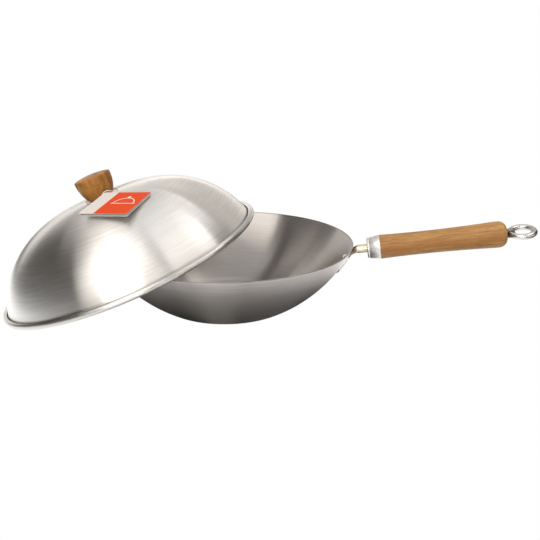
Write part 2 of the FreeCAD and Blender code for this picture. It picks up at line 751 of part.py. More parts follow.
# ---------------------------------------------------------------- all the pieces
makers = {
    "bowl": make_bowl,
    "handle_stem": make_stem,
    "rivet_upper": lambda: make_rivet(rivet_slopes[0]),
    "rivet_lower": lambda: make_rivet(rivet_slopes[1]),
    "ferrule": make_ferrule,
    "grip": make_grip,
    "stem_nut": make_nut,
    "eye_bolt": make_eye_bolt,
    "eye_washer": make_eye_washer,
    "hanging_ring": make_ring,
    "lid_dome": lambda: on_lid(make_lid()),
    "knob": lambda: on_lid(make_knob()),
    "knob_insert": lambda: on_lid(make_insert()),
    "knob_screw": lambda: on_lid(make_screw()),
    "knob_seat_washer": lambda: on_lid(washer(seat_washer_radius, screw_radius + touch_gap, seat_washer_base,
                                              seat_washer_thick)),
    "lid_washer": lambda: on_lid(washer(lid_washer_radius, screw_radius + shank_gap,
                                        lid_washer_top - lid_washer_thick, lid_washer_thick)),
    "tag_back_leaf": make_back_leaf,
    "tag_inner_leaf": make_inner_leaf,
    "tag_front_leaf": make_front_leaf,
    "tag_string": make_string,
    "string_knot": make_knot,
}

shapes = {}
for node, make in makers.items():
    shape = make()
    if len(shape.Solids) == 1:
        shape = shape.Solids[0]
    shapes[node] = shape
    shape.exportStep("parts/%s.step" % node)
    print("%-18s valid %s, solids %d, %.1f cm3" % (node, shape.isValid(), len(shape.Solids), shape.Volume / 1000))
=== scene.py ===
import bmesh
import bpy
import math
from mathutils import Matrix, Vector


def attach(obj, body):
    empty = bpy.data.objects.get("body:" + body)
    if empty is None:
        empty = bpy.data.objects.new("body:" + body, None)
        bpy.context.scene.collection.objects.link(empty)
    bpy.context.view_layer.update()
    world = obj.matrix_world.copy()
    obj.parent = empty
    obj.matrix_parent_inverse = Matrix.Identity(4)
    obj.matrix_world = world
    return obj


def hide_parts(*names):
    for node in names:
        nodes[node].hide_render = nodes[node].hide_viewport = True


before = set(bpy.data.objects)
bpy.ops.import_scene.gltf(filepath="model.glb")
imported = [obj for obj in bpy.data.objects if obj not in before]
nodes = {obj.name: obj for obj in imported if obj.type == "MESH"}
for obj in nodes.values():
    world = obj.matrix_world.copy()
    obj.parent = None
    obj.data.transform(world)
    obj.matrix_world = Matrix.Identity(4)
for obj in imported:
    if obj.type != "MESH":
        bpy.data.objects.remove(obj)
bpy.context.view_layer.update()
scene = bpy.context.scene
white = (1, 1, 1, 1)
print("frame loaded:", len(nodes), "pieces")

# camera
shot = {
    "place": (0.14277, -0.72137, 0.28795),
    "look": (-0.118735, 0.939884, -0.320187),
    "up": (-0.04013, 0.31766, 0.94735),
    "lens": 42.5,
    "sensor": 36,
}


def makeCamera(s):
    look, up = Vector(s["look"]).normalized(), Vector(s["up"]).normalized()
    right = look.cross(up).normalized()
    data = bpy.data.cameras.new("camera")
    data.lens, data.sensor_width = s["lens"], s["sensor"]
    camera = bpy.data.objects.new("camera", data)
    turn = Matrix((right, right.cross(look), -look)).transposed().to_4x4()
    camera.matrix_world = Matrix.Translation(s["place"]) @ turn
    scene.collection.objects.link(camera)
    scene.camera = camera


makeCamera(shot)


def rotation(degrees, axis):
    return Matrix.Rotation(math.radians(degrees), 4, axis)


# where the lid, the handle and the tag stand, in metres and degrees
lidPlace = {"at": (-0.11321, -0.02262, 0.05806), "turn": 11.3, "lean": 20.75}
handlePlace = {"at": (0.150, 0, 0.07165), "rise": 8.45}
tagPlace = {"at": (-0.08618, -0.07283, 0.14413), "right": (0.96369, -0.253757, 0.083121),
            "up": (0.225088, 0.939452, 0.25839)}

bowlFrame = Matrix.Identity(4)
lidFrame = Matrix.Translation(lidPlace["at"]) @ rotation(lidPlace["turn"], "Z") @ rotation(-lidPlace["lean"], "Y")
handleFrame = Matrix.Translation(handlePlace["at"]) @ rotation(-handlePlace["rise"], "Y")
ferruleFrame = handleFrame @ rotation(90, "Y")
knobGrainFrame = lidFrame @ rotation(90, "Y") @ rotation(60, "X")  # the grain runs up the knob
tagRight, tagUp = Vector(tagPlace["right"]), Vector(tagPlace["up"])
tagTurn = Matrix((tagRight, tagUp, tagRight.cross(tagUp))).transposed()
tagFrame = Matrix.Translation(tagPlace["at"]) @ tagTurn.to_4x4()


# shader helpers
def addNode(tree, kind, **settings):
    node = tree.nodes.new(kind)
    for name, value in settings.items():
        setattr(node, name, value)
    return node


def put(tree, value, socket):
    # a value is a number, a colour or another node's output
    if isinstance(value, bpy.types.NodeSocket):
        tree.links.new(value, socket)
    else:
        socket.default_value = value


def mathNode(tree, operation, *values, clamp=False):
    node = addNode(tree, "ShaderNodeMath", operation=operation, use_clamp=clamp)
    for socket, value in zip(node.inputs, values):
        put(tree, value, socket)
    return node.outputs[0]


def plus(tree, a, b, clamp=False):
    return mathNode(tree, "ADD", a, b, clamp=clamp)


def minus(tree, a, b):
    return mathNode(tree, "SUBTRACT", a, b)


def times(tree, a, b):
    return mathNode(tree, "MULTIPLY", a, b)


def reach(tree, a, b):
    return mathNode(tree, "SQRT", plus(tree, times(tree, a, a), times(tree, b, b)))


def mixColour(tree, share, a, b, blend="MIX"):
    node = addNode(tree, "ShaderNodeMix", data_type="RGBA", blend_type=blend)
    for number, value in ((0, share), (6, a), (7, b)):  # the sockets for colours
        put(tree, value, node.inputs[number])
    return node.outputs[2]


def spread(tree, value, low, high, toLow=0.0, toHigh=1.0, kind="LINEAR"):
    node = addNode(tree, "ShaderNodeMapRange", interpolation_type=kind)
    put(tree, value, node.inputs["Value"])
    for name, number in (("From Min", low), ("From Max", high), ("To Min", toLow), ("To Max", toHigh)):
        put(tree, number, node.inputs[name])
    return node.outputs["Result"]


def noise(tree, place, scale=1.0, detail=2.0, rough=0.5):
    node = addNode(tree, "ShaderNodeTexNoise")
    for name, value in (("Vector", place), ("Scale", scale), ("Detail", detail), ("Roughness", rough)):
        put(tree, value, node.inputs[name])
    return node.outputs["Fac"]


def joined(tree, x, y, z):
    node = addNode(tree, "ShaderNodeCombineXYZ")
    for socket, value in zip(node.inputs, (x, y, z)):
        put(tree, value, socket)
    return node.outputs[0]


def parts(tree, value):
    node = addNode(tree, "ShaderNodeSeparateXYZ")
    put(tree, value, node.inputs[0])
    return node.outputs


def newGroup(name, inputs, outputs):
    # an input with no value is a place, and one with four numbers is a colour
    kinds = {type(None): "NodeSocketVector", tuple: "NodeSocketColor", float: "NodeSocketFloat"}
    group = bpy.data.node_groups.new(name, "ShaderNodeTree")
    for socketName, value in inputs.items():
        socket = group.interface.new_socket(socketName, in_out="INPUT", socket_type=kinds[type(value)])
        if value is not None:
            socket.default_value = value
    for socketName in outputs:
        kind = kinds[tuple if socketName == "Color" else float]
        group.interface.new_socket(socketName, in_out="OUTPUT", socket_type=kind)
    return group, group.nodes.new("NodeGroupInput").outputs, group.nodes.new("NodeGroupOutput").inputs


def useGroup(tree, group, **values):
    node = addNode(tree, "ShaderNodeGroup", node_tree=group)
    for name, value in values.items():
        put(tree, value, node.inputs[name])
    return node.outputs


# marks of turning and brushing that run round an axis
turning = {"smallest": 0.001, "streak": 2.2, "detail": 3.0, "rough": 0.65, "broadShare": 0.16, "broadHeight": 0.5}


def makeTurnedMarks(s):
    group, given, out = newGroup("turnedMarks", {"Vector": None, "Rise": 1.0, "Fineness": 600.0},
                                 ("Fine", "Broad", "Height"))
    x, y, z = parts(group, given["Vector"])
    radius = reach(group, x, y)
    safe = mathNode(group, "MAXIMUM", radius, s["smallest"])
    across, along = mathNode(group, "DIVIDE", x, safe), mathNode(group, "DIVIDE", y, safe)
    profile = plus(group, radius, times(group, z, given["Rise"]))
    finePlace = joined(group, times(group, across, s["streak"]), times(group, along, s["streak"]),
                       times(group, profile, given["Fineness"]))
    broadFineness = times(group, given["Fineness"], s["broadShare"])
    broadPlace = joined(group, across, along, times(group, profile, broadFineness))
    fine = noise(group, finePlace, detail=s["detail"], rough=s["rough"])
    broad = noise(group, broadPlace)
    put(group, fine, out["Fine"])
    put(group, broad, out["Broad"])
    put(group, plus(group, fine, times(group, broad, s["broadHeight"])), out["Height"])
    return group


# faint smears and handling marks
smearing = {"detail": 4.0, "rough": 0.6, "low": 0.35, "high": 0.7}


def makeHandlingSmears(s):
    group, given, out = newGroup("handlingSmears", {"Vector": None, "Scale": 30.0}, ("Mask",))
    cloud = noise(group, given["Vector"], given["Scale"], s["detail"], s["rough"])
    put(group, spread(group, cloud, s["low"], s["high"], kind="SMOOTHSTEP"), out["Mask"])
    return group


# wood with its grain along local X, glued up from strips
graining = {
    "stripShift": 0.7,
    "streaks": {"along": 13.0, "across": 330.0, "detail": 4.0, "rough": 0.65, "low": 0.35, "high": 0.68,
                "share": 0.55},
    "fibres": {"along": 75.0, "across": 900.0, "detail": 2.0, "rough": 0.6, "low": 0.54, "high": 0.68,
               "share": 0.7, "sunk": 0.6},
    "blotches": {"along": 28.0, "across": 45.0, "detail": 2.0, "rough": 0.5, "low": 0.4, "high": 0.7,
                 "share": 0.22},
}


def makeWoodGrain(s):
    group, given, out = newGroup(
        "woodGrain", {"Vector": None, "Pale": (0.6, 0.35, 0.16, 1), "Dark": (0.35, 0.17, 0.06, 1), "Strip": 0.006,
                      "Contrast": 0.3}, ("Color", "Fibre", "Height"))
    x, y, z = parts(group, given["Vector"])
    tone = addNode(group, "ShaderNodeTexWhiteNoise", noise_dimensions="1D")
    put(group, mathNode(group, "FLOOR", mathNode(group, "DIVIDE", y, given["Strip"])), tone.inputs["W"])
    stripTone = tone.outputs["Value"]
    shifted = plus(group, x, times(group, stripTone, s["stripShift"]))

    def stretched(start, look):
        place = joined(group, times(group, start, look["along"]), times(group, y, look["across"]),
                       times(group, z, look["across"]))
        return noise(group, place, detail=look["detail"], rough=look["rough"])

    def shown(marks, look):
        return spread(group, marks, look["low"], look["high"])

    streaks = stretched(shifted, s["streaks"])
    fleck = shown(stretched(shifted, s["fibres"]), s["fibres"])
    blotch = shown(stretched(x, s["blotches"]), s["blotches"])
    share = plus(group, times(group, shown(streaks, s["streaks"]), s["streaks"]["share"]),
                 times(group, stripTone, given["Contrast"]))
    share = plus(group, share, times(group, blotch, s["blotches"]["share"]), clamp=True)
    base = mixColour(group, share, given["Pale"], given["Dark"])
    put(group, mixColour(group, times(group, fleck, s["fibres"]["share"]), base, given["Dark"]), out["Color"])
    put(group, fleck, out["Fibre"])
    put(group, minus(group, streaks, times(group, fleck, s["fibres"]["sunk"])), out["Height"])
    return group


turnedMarks = makeTurnedMarks(turning)
handlingSmears = makeHandlingSmears(smearing)
woodGrain = makeWoodGrain(graining)


# material helpers
def newMaterial(name, **settings):
    material = bpy.data.materials.new(name)
    material.use_nodes = True
    shader = material.node_tree.nodes["Principled BSDF"]
    for socketName, value in settings.items():
        shader.inputs[socketName.replace("_", " ")].default_value = value
    return material, material.node_tree, shader


def localCoordinates(tree, placed):
    coordinates = addNode(tree, "ShaderNodeTexCoord")
    mapping = addNode(tree, "ShaderNodeMapping", vector_type="TEXTURE")
    put(tree, placed.to_translation(), mapping.inputs["Location"])
    put(tree, placed.to_euler("XYZ"), mapping.inputs["Rotation"])
    put(tree, coordinates.outputs["Object"], mapping.inputs["Vector"])
    return mapping.outputs[0]


def bumpFrom(tree, shader, height, strength, distance):
    bump = addNode(tree, "ShaderNodeBump")
    put(tree, strength, bump.inputs["Strength"])
    put(tree, distance, bump.inputs["Distance"])
    put(tree, height, bump.inputs["Height"])
    put(tree, bump.outputs[0], shader.inputs["Normal"])


# brushed metal, with its reflections drawn out across the brushing
brushing = {"turn": 0.25, "tintFrom": 0.42, "tintTo": 0.58, "bandsFrom": 0.35, "bandsTo": 0.65,
            "roughFrom": 0.3, "roughTo": 0.7, "roughChange": 0.02, "bumpDepth": 0.0002}


def turnedMetal(name, placed, look):
    s = brushing
    material, tree, shader = newMaterial(name, Metallic=1.0, Anisotropic=look["anisotropy"],
                                         Anisotropic_Rotation=s["turn"])
    place = localCoordinates(tree, placed)
    marks = useGroup(tree, turnedMarks, Vector=place, Rise=look["rise"], Fineness=look["fineness"])
    smears = useGroup(tree, handlingSmears, Vector=place, Scale=look["smearScale"])
    tint = mixColour(tree, spread(tree, marks["Fine"], s["tintFrom"], s["tintTo"]), look["dark"], look["pale"])
    bands = times(tree, spread(tree, marks["Broad"], s["bandsFrom"], s["bandsTo"]), look["bands"])
    tint = mixColour(tree, bands, tint, look["dark"])
    rough = spread(tree, marks["Fine"], s["roughFrom"], s["roughTo"],
                   look["rough"] - s["roughChange"], look["rough"] + s["roughChange"])
    rough = plus(tree, rough, times(tree, smears["Mask"], look["smear"]))
    if "edgeStart" in look:
        # the rolled or ground edge has a roughness of its own beside the brushed wall, and its colour is darkened
        # there as painted shade that tones down its reflection
        edge = spread(tree, parts(tree, place)[2], look["edgeStart"], look["edgeEnd"])
        rough = times(tree, rough, spread(tree, edge, 0, 1, 1, look["edgeRough"] / look["rough"]))
        # painted shade: the edge's colour is multiplied darker
        shade = (look["edgeShadeTone"],) * 3 + (1,)
        tint = mixColour(tree, edge, tint, mixColour(tree, 1.0, tint, shade, "MULTIPLY"))
    put(tree, tint, shader.inputs["Base Color"])
    put(tree, rough, shader.inputs["Roughness"])
    bumpFrom(tree, shader, marks["Height"], look["bump"], s["bumpDepth"])
    tangent = addNode(tree, "ShaderNodeTangent", direction_type="UV_MAP", uv_map="aroundAxis")
    put(tree, tangent.outputs[0], shader.inputs["Tangent"])
    return material


def plainMetal(name, look):
    material, tree, shader = newMaterial(name, Metallic=1.0)
    place = localCoordinates(tree, Matrix.Identity(4))
    smears = useGroup(tree, handlingSmears, Vector=place, Scale=look["smearScale"])
    tint = mixColour(tree, smears["Mask"], look["pale"], look["dark"])
    if "nookShade" in look:
        # the strap below stays bare steel, and the nook where the stem meets the bowl gets a painted shadow, dark
        # brown
        x, y, z = parts(tree, localCoordinates(tree, handleFrame))
        strap = spread(tree, z, look["strapBelow"], look["strapBelow"] - look["strapFade"])
        nook = spread(tree, x, look["nookEnd"], look["nookEnd"] - look["nookFade"])
        nook = times(tree, nook, minus(tree, 1, strap))
        tint = mixColour(tree, strap, tint, look["steel"])
        # painted shadow: dark brown mixed into the stem by the bowl, where shade falls between the rim and the tube
        tint = mixColour(tree, times(tree, nook, look["nookShadeShare"]), tint, look["nookShade"])
    put(tree, tint, shader.inputs["Base Color"])
    rough = spread(tree, smears["Mask"], 0, 1, look["rough"], look["rough"] + look["smear"])
    put(tree, rough, shader.inputs["Roughness"])
    return material


# oiled wood
oiling = {"coat": 0.05, "coatRough": 0.25, "shine": 0.2, "fibreRough": 0.15, "bump": 0.25, "bumpDepth": 0.0003}


def wood(name, placed, look):
    s = oiling
    material, tree, shader = newMaterial(name, Coat_Weight=s["coat"], Coat_Roughness=s["coatRough"],
                                         Specular_IOR_Level=s["shine"])
    place = localCoordinates(tree, placed)
    grain = useGroup(tree, woodGrain, Vector=place, Pale=look["pale"], Dark=look["dark"], Strip=look["strip"],
                     Contrast=look["contrast"])
    colour = grain["Color"]
    if "shadeBand" in look:
        # painted shade: a darker, redder band across the grip's middle height, between two wavy lines, stands in for
        # its shaded lower part
        wave = times(tree, noise(tree, place, look["waveScale"], look["waveDetail"]), look["wave"])
        level = plus(tree, parts(tree, place)[2], wave)
        low, lowFade, high, highFade = look["shadeBandLow"], look["lowFade"], look["shadeBandHigh"], look["highFade"]
        inside = times(tree, spread(tree, level, low - lowFade, low + lowFade),
                       spread(tree, level, high - highFade, high + highFade, 1, 0))
        colour = mixColour(tree, times(tree, inside, look["shadeBandShare"]), colour, look["shadeBand"])
    put(tree, colour, shader.inputs["Base Color"])
    rough = spread(tree, grain["Fibre"], 0, 1, look["rough"], look["rough"] + s["fibreRough"])
    put(tree, rough, shader.inputs["Roughness"])
    bumpFrom(tree, shader, grain["Height"], s["bump"], s["bumpDepth"])
    return material


# the finish of each piece
finishes = {
    "lid": {"pale": (0.78, 0.762, 0.732, 1), "dark": (0.66, 0.642, 0.61, 1), "bands": 0.12, "rise": -1.0,
            "fineness": 900.0, "rough": 0.30, "smear": 0.01, "smearScale": 25.0, "bump": 0.01, "anisotropy": 1.0,
            "edgeStart": 0.0045, "edgeEnd": 0.0035, "edgeRough": 0.28, "edgeShadeTone": 0.78},
    "bowl": {"pale": (0.565, 0.532, 0.508, 1), "dark": (0.505, 0.474, 0.449, 1), "bands": 0.3, "rise": 1.0,
             "fineness": 700.0, "rough": 0.31, "smear": 0.01, "smearScale": 22.0, "bump": 0.01, "anisotropy": 1.0,
             "edgeStart": 0.0760, "edgeEnd": 0.0765, "edgeRough": 0.34, "edgeShadeTone": 0.6},
    "ferrule": {"pale": (0.80, 0.79, 0.77, 1), "dark": (0.62, 0.61, 0.59, 1), "bands": 0.3, "rise": 0.0,
                "fineness": 1500.0, "rough": 0.48, "smear": 0.04, "smearScale": 140.0, "bump": 0.02,
                "anisotropy": 0.2},
    "stem": {"pale": (0.66, 0.58, 0.45, 1), "dark": (0.54, 0.46, 0.34, 1), "rough": 0.24, "smear": 0.1,
             "smearScale": 120.0, "steel": (0.62, 0.60, 0.57, 1), "strapBelow": -0.0055, "strapFade": 0.002,
             # the stem's dark brown by the bowl is a painted shadow
             "nookShade": (0.05, 0.035, 0.022, 1), "nookShadeShare": 0.8, "nookEnd": 0.0055, "nookFade": 0.003},
    "chrome": {"pale": (0.56, 0.55, 0.535, 1), "dark": (0.48, 0.47, 0.455, 1), "rough": 0.26, "smear": 0.03,
               "smearScale": 40.0},
    "eye": {"pale": (0.30, 0.28, 0.26, 1), "dark": (0.18, 0.165, 0.15, 1), "rough": 0.32, "smear": 0.12,
            "smearScale": 150.0},
    "rivet": {"pale": (0.92, 0.91, 0.89, 1), "dark": (0.80, 0.79, 0.77, 1), "rough": 0.16, "smear": 0.1,
              "smearScale": 300.0},
    "screw": {"pale": (0.72, 0.72, 0.72, 1), "dark": (0.6, 0.6, 0.6, 1), "rough": 0.3, "smear": 0.1,
              "smearScale": 200.0},
    "brass": {"pale": (0.80, 0.60, 0.28, 1), "dark": (0.66, 0.48, 0.2, 1), "rough": 0.3, "smear": 0.1,
              "smearScale": 200.0},
    "grip": {"pale": (0.50, 0.27, 0.097, 1), "dark": (0.20, 0.082, 0.022, 1), "strip": 0.0075, "contrast": 0.2,
             # the grip's redder middle band is painted shade
             "rough": 0.45, "shadeBand": (0.33, 0.135, 0.035, 1), "shadeBandShare": 0.6, "shadeBandLow": -0.0020,
             "lowFade": 0.0006, "shadeBandHigh": 0.0065, "highFade": 0.0015, "wave": 0.004, "waveScale": 25,
             "waveDetail": 1},
    "knob": {"pale": (0.49, 0.228, 0.05, 1), "dark": (0.18, 0.062, 0.012, 1), "strip": 0.0052, "contrast": 0.55,
             "rough": 0.42},
}
lidMetal = turnedMetal("lidMetal", lidFrame, finishes["lid"])
bowlSteel = turnedMetal("bowlSteel", bowlFrame, finishes["bowl"])
ferrulePlate = turnedMetal("ferrulePlate", ferruleFrame, finishes["ferrule"])
stemPlate = plainMetal("stemPlate", finishes["stem"])
chromePlate = plainMetal("chromePlate", finishes["chrome"])
eyeSteel = plainMetal("eyeSteel", finishes["eye"])
rivetMetal = plainMetal("rivetMetal", finishes["rivet"])
screwSteel = plainMetal("screwSteel", finishes["screw"])
insertBrass = plainMetal("insertBrass", finishes["brass"])
gripWood = wood("gripWood", handleFrame, finishes["grip"])
knobWood = wood("knobWood", knobGrainFrame, finishes["knob"])
print("metals and woods made")

# printed card, with a plain line drawing of a dome and its knob on a base line
cardPrint = {"cream": (0.65, 0.60, 0.565, 1), "orange": (0.66, 0.058, 0.008, 1), "paper": (0.66, 0.65, 0.63, 1),
             "dusk": (0.5, 0.48, 0.45, 1), "duskShare": 0.25, "speckle": 1500, "speckleDetail": 3,
             "speckleLow": 0.3, "speckleHigh": 0.7, "rough": 0.55, "shine": 0.12, "bump": 0.05, "bumpDepth": 0.0001,
             "left": -0.0396, "creamWidth": 0.0185, "line": 0.0006, "domeAt": (0.0, -0.022), "domeRadius": 0.0125,
             "baseShare": 1.2, "knobRadius": 0.0021, "facing": 0.8}


def drawDome(tree, x, y, s):
    u, v = minus(tree, x, s["domeAt"][0]), minus(tree, y, s["domeAt"][1])
    dome = times(tree, mathNode(tree, "COMPARE", reach(tree, u, v), s["domeRadius"], s["line"]),
                 mathNode(tree, "GREATER_THAN", v, 0))
    base = times(tree, mathNode(tree, "COMPARE", v, 0, s["line"]),
                 mathNode(tree, "COMPARE", u, 0, s["domeRadius"] * s["baseShare"]))
    knobReach = reach(tree, u, minus(tree, v, s["domeRadius"] + s["knobRadius"]))
    knob = mathNode(tree, "LESS_THAN", knobReach, s["knobRadius"])
    return mathNode(tree, "MAXIMUM", mathNode(tree, "MAXIMUM", dome, base), knob)


def tagBoard(name, s, printed):
    material, tree, shader = newMaterial(name, Roughness=s["rough"], Specular_IOR_Level=s["shine"])
    place = localCoordinates(tree, tagFrame)
    speckle = noise(tree, place, s["speckle"], s["speckleDetail"])
    duskShare = spread(tree, speckle, s["speckleLow"], s["speckleHigh"], 0, s["duskShare"])
    paper = mixColour(tree, duskShare, s["paper"], s["dusk"])
    if printed:
        # only the cover's outer side is printed
        x, y, z = parts(tree, place)
        onOrange = mathNode(tree, "GREATER_THAN", minus(tree, x, s["left"]), s["creamWidth"])
        ink = mixColour(tree, onOrange, s["cream"], s["orange"])
        ink = mixColour(tree, drawDome(tree, x, y, s), ink, s["paper"])
        facing = addNode(tree, "ShaderNodeVectorMath", operation="DOT_PRODUCT")
        put(tree, addNode(tree, "ShaderNodeTexCoord").outputs["Normal"], facing.inputs[0])
        put(tree, tagTurn.col[2], facing.inputs[1])
        paper = mixColour(tree, mathNode(tree, "GREATER_THAN", facing.outputs["Value"], s["facing"]), paper, ink)
    put(tree, paper, shader.inputs["Base Color"])
    bumpFrom(tree, shader, speckle, s["bump"], s["bumpDepth"])
    return material


tagPrint = tagBoard("tagPrint", cardPrint, True)
tagPaper = tagBoard("tagPaper", cardPrint, False)

# string fibre
stringLook = {"dusk": (0.62, 0.56, 0.47, 1), "cotton": (0.86, 0.82, 0.74, 1), "twist": 2600, "rough": 0.85,
              "fuzz": 0.3, "bump": 0.6, "bumpDepth": 0.0002}


def makeStringFibre(s):
    material, tree, shader = newMaterial("stringFibre", Roughness=s["rough"], Sheen_Weight=s["fuzz"])
    twist = noise(tree, localCoordinates(tree, Matrix.Identity(4)), s["twist"])
    put(tree, mixColour(tree, twist, s["dusk"], s["cotton"]), shader.inputs["Base Color"])
    bumpFrom(tree, shader, twist, s["bump"], s["bumpDepth"])
    return material


stringFibre = makeStringFibre(stringLook)

# modelling helpers: a section is drawn in the XZ plane and turned round Z
hair, near = 1e-6, 1e-5  # metres within which two places count as one


def startVert(bm, x, z):
    return bmesh.ops.create_vert(bm, co=(x, 0, z))["vert"][0]


def lineTo(bm, vert, x, z):
    made = bmesh.ops.extrude_vert_indiv(bm, verts=[vert])["verts"][0]
    made.co = (x, 0, z)
    return made


def arcRound(bm, vert, centre, degrees, steps):
    made = bmesh.ops.spin(bm, geom=[vert], cent=(centre[0], 0, centre[1]), axis=(0, 1, 0), dvec=(0, 0, 0),
                          angle=math.radians(degrees), steps=steps, use_duplicate=False)
    return [g for g in made["geom_last"] if isinstance(g, bmesh.types.BMVert)][0]


def turnRound(bm, steps):
    bmesh.ops.spin(bm, geom=bm.verts[:] + bm.edges[:], cent=(0, 0, 0), axis=(0, 0, 1), dvec=(0, 0, 0),
                   angle=math.radians(360), steps=steps, use_merge=True, use_duplicate=False)
    bmesh.ops.remove_doubles(bm, verts=bm.verts, dist=hair)
    bmesh.ops.recalc_face_normals(bm, faces=bm.faces)


def roundOff(bm, edges, size, segments):
    bmesh.ops.bevel(bm, geom=edges, offset=size, offset_type="OFFSET", affect="EDGES", segments=segments,
                    profile=0.5, material=-1)


def mapAround(bm, about=None, perMetre=4):
    # U runs round the axis and V along the profile, or round a point of it where the profile curls
    layer = bm.loops.layers.uv.new("aroundAxis")

    def unwound(y, x, close):
        angle = math.atan2(y, x)
        return angle + math.tau * round((close - angle) / math.tau)

    for face in bm.faces:
        middle = face.calc_center_median()
        facing = math.atan2(middle.y, middle.x)
        if about:
            middleTurn = math.atan2(middle.z - about[1], middle.xy.length - about[0])
        for loop in face.loops:
            co, away = loop.vert.co, loop.vert.co.xy.length
            angle = unwound(co.y, co.x, facing) if away > hair else facing
            if about:
                along = unwound(co.z - about[1], away - about[0], middleTurn)
            else:
                along = perMetre * (away + co.z)
            loop[layer].uv = (angle / math.tau, along)


def finishPiece(bm, name, placed, material):
    bm.transform(placed)
    mesh = bpy.data.meshes.new(name)
    for face in bm.faces:
        face.smooth = True
    bm.to_mesh(mesh)
    bm.free()
    mesh.materials.append(material)
    piece = bpy.data.objects.new(name, mesh)
    scene.collection.objects.link(piece)
    return piece


# string, the only cord: the same points as its solid's route
stringRoute = [
    (-0.11895, -0.06645, 0.14175), (-0.11909, -0.0652, 0.13934), (-0.12349, -0.06302, 0.13831),
    (-0.12786, -0.05849, 0.13966), (-0.1285, -0.0528, 0.14261), (-0.12563, -0.04795, 0.14453),
    (-0.12258, -0.04387, 0.143), (-0.1226, -0.03623, 0.14135), (-0.12352, -0.02672, 0.1405),
    (-0.1249, -0.01629, 0.14038), (-0.1304, -0.00821, 0.13887), (-0.14064, -0.0072, 0.13521),
    (-0.15172, -0.01145, 0.13081), (-0.15851, -0.02046, 0.12762), (-0.15846, -0.03268, 0.12676),
    (-0.15299, -0.04332, 0.12798), (-0.14614, -0.05113, 0.12983), (-0.1395, -0.05775, 0.13159),
    (-0.13072, -0.06304, 0.13417), (-0.12194, -0.06618, 0.13707), (-0.1174, -0.06731, 0.13943),
    (-0.11741, -0.06685, 0.14188),
]
stringSizes = {"radius": 0.0005, "roundSteps": 3, "alongSteps": 8, "order": 3}


def makeString(route, s):
    curve = bpy.data.curves.new("tagString", "CURVE")
    curve.dimensions = "3D"
    curve.bevel_depth = s["radius"]
    curve.bevel_resolution = s["roundSteps"]
    curve.resolution_u = s["alongSteps"]
    spline = curve.splines.new("NURBS")
    spline.points.add(len(route) - 1)
    for point, place in zip(spline.points, route):
        point.co = (*place, 1)
    spline.order_u = s["order"]
    spline.use_endpoint_u = True
    curve.materials.append(stringFibre)
    piece = bpy.data.objects.new("tagString", curve)
    scene.collection.objects.link(piece)
    return piece


tagString = makeString(stringRoute, stringSizes)
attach(tagString, "lid")
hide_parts("tag_string")
print("card and string made")

# bowl
bowlSizes = {"flat": 0.067747, "blend": 0.025, "blendSlope": 29.26, "centre": (-0.0039076, 0.152902),
             "rimSlope": 63.749, "innerRim": (0.148214, 0.077), "innerRimSlope": 63.48, "sheet": 0.0016,
             "edgeRound": 0.00035, "edgeSteps": 3, "blendSteps": 8, "wallSteps": 40, "steps": 200}


def makeBowl(s):
    bm = bmesh.new()
    corner = (s["flat"], s["blend"])
    vert = lineTo(bm, startVert(bm, 0, 0), s["flat"], 0)
    vert = arcRound(bm, vert, corner, -s["blendSlope"], s["blendSteps"])
    vert = arcRound(bm, vert, s["centre"], s["blendSlope"] - s["rimSlope"], s["wallSteps"])
    vert = lineTo(bm, vert, *s["innerRim"])
    vert = arcRound(bm, vert, s["centre"], s["innerRimSlope"] - s["blendSlope"], s["wallSteps"])
    vert = arcRound(bm, vert, corner, s["blendSlope"], s["blendSteps"])
    lineTo(bm, vert, 0, s["sheet"])
    turnRound(bm, s["steps"])
    top = s["innerRim"][1]
    rim = [e for e in bm.edges if all(v.co.z > top - 2 * near for v in e.verts)
           and abs(e.verts[0].co.xy.length - e.verts[1].co.xy.length) < near]
    roundOff(bm, rim, s["edgeRound"], s["edgeSteps"])
    mapAround(bm)
    return finishPiece(bm, "wokBowl", bowlFrame, bowlSteel)


bowl = makeBowl(bowlSizes)
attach(bowl, "wok")
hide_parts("bowl")

# lid
lidSizes = {"crownCentre": -0.7202154, "height": 0.0797846, "crownSlope": 3.46737,
            "shoulderCentre": (0.0413684, -0.0374675), "shoulderSweep": 68.13263, "beadRadius": 0.154,
            "curlSweep": 298.0, "sheet": 0.0008, "crownSteps": 8, "shoulderSteps": 56, "curlSteps": 30, "steps": 200}


def makeLid(s):
    bm = bmesh.new()
    bead = (s["beadRadius"], 0)
    vert = arcRound(bm, startVert(bm, 0, s["height"]), (0, s["crownCentre"]), s["crownSlope"], s["crownSteps"])
    vert = arcRound(bm, vert, s["shoulderCentre"], s["shoulderSweep"], s["shoulderSteps"])
    arcRound(bm, vert, bead, -s["curlSweep"], s["curlSteps"])
    turnRound(bm, s["steps"])
    if max(bm.faces, key=lambda f: f.calc_center_median().z).normal.z < 0:
        bmesh.ops.reverse_faces(bm, faces=bm.faces)
    mapAround(bm, bead)
    piece = finishPiece(bm, "lidShell", lidFrame, lidMetal)
    wall = piece.modifiers.new("sheet", "SOLIDIFY")
    wall.thickness = s["sheet"]
    wall.offset = -1
    return piece


lid = makeLid(lidSizes)
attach(lid, "lid")
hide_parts("lid_dome")
print("bowl and lid turned")

# ferrule, pressed from sheet, with a shallow groove behind its lip
ferruleSizes = {"start": 0.0161, "end": 0.031, "frontRadius": 0.01175, "backRadius": 0.01405, "sheet": 0.0008,
                "hole": 0.00505, "lipRound": 0.0012, "lipSteps": 6, "edgeRound": 0.00025, "edgeSteps": 3,
                "grooveAt": 0.0186, "grooveWidth": 0.0007, "grooveDepth": 0.00022, "steps": 128}
grooveShape = ((-0.5, 0), (-0.25, 1), (0.25, 1), (0.5, 0))  # shares of its width and depth


